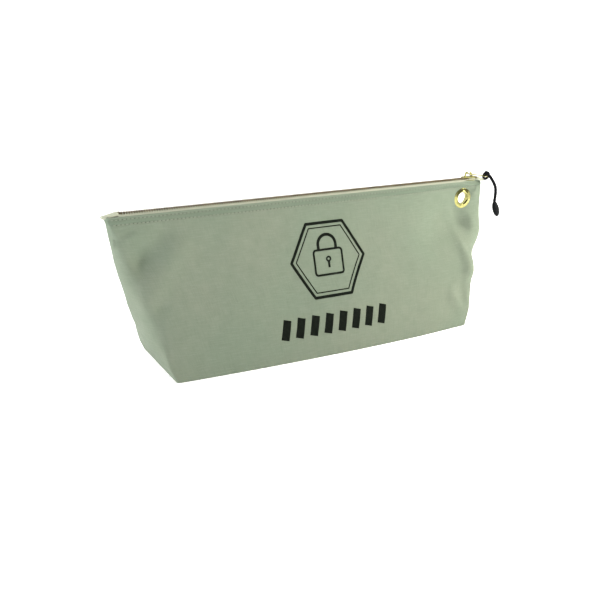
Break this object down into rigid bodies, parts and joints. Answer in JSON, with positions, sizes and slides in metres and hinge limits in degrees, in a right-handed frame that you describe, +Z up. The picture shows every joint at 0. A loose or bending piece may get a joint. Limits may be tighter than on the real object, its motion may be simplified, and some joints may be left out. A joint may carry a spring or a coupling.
{
  "type": "zipper pouch",
  "caption": "Boxed-floor canvas pouch closed by a metal zip, with a corner grommet and a cord pull on the slider.",
  "frame": {"origin": "centre of the underside of the floor", "axes": "+X along the zip towards its closed end and the grommet, +Y towards the back wall, +Z up"},
  "size_m": [0.4651, 0.102, 0.169],
  "materials": {
    "canvas": "natural duck canvas, matte",
    "tape": "cream cotton zip tape",
    "brass": "bright brass",
    "thread": "cotton thread",
    "cord": "black braided cord",
    "tip": "moulded black plastic"
  },
  "bodies": {
    "bag": {"front_panel": "canvas", "floor_panel": "canvas", "left_end": "canvas", "right_end": "canvas", "grommet_corner": "canvas", "front_tape": "tape", "front_teeth": "brass", "bottom_stop": "brass", "front_top_stop": "brass", "left_end_tab": "canvas", "right_end_tab": "canvas", "front_hem_thread": "thread", "grommet_eyelet": "brass", "grommet_washer": "brass"},
    "back_wall": {"back_panel": "canvas", "back_tape": "tape", "back_teeth": "brass", "back_top_stop": "brass", "back_hem_thread": "thread"},
    "slider": {"slider_body": "brass", "slider_bail": "brass"},
    "pull_tab": {"pull_tab": "brass"},
    "pull_cord": {"cord_loop": "cord", "pull_cord": "cord", "cord_tip": "tip"}
  },
  "joints": [
    {"name": "slider_slide", "type": "slide", "parent": "bag", "child": "slider", "axis": [-1, 0, 0], "range_m": [0, 0.4055], "deforming": ["front_teeth", "back_teeth"]},
    {"name": "mouth_hinge", "type": "hinge", "parent": "bag", "child": "back_wall", "pos_m": [0, 0.051, 0], "axis": [-1, 0, 0], "range_deg": [0, 25]},
    {"name": "pull_tab_hinge", "type": "hinge", "parent": "slider", "child": "pull_tab", "pos_m": [0.2051, 0, 0.1662], "axis": [0, -1, 0], "range_deg": [0, 175]},
    {"name": "pull_cord_hinge", "type": "hinge", "parent": "pull_tab", "child": "pull_cord", "pos_m": [0.23159, 0, 0.16153], "axis": [0, -1, 0], "range_deg": [-175, 0]}
  ],
  "couplings": [
    {"joint": "mouth_hinge", "follows": "slider_slide", "rad_per_m": 1.06},
    {"joint": "pull_cord_hinge", "follows": "pull_tab_hinge", "ratio": -1}
  ]
}
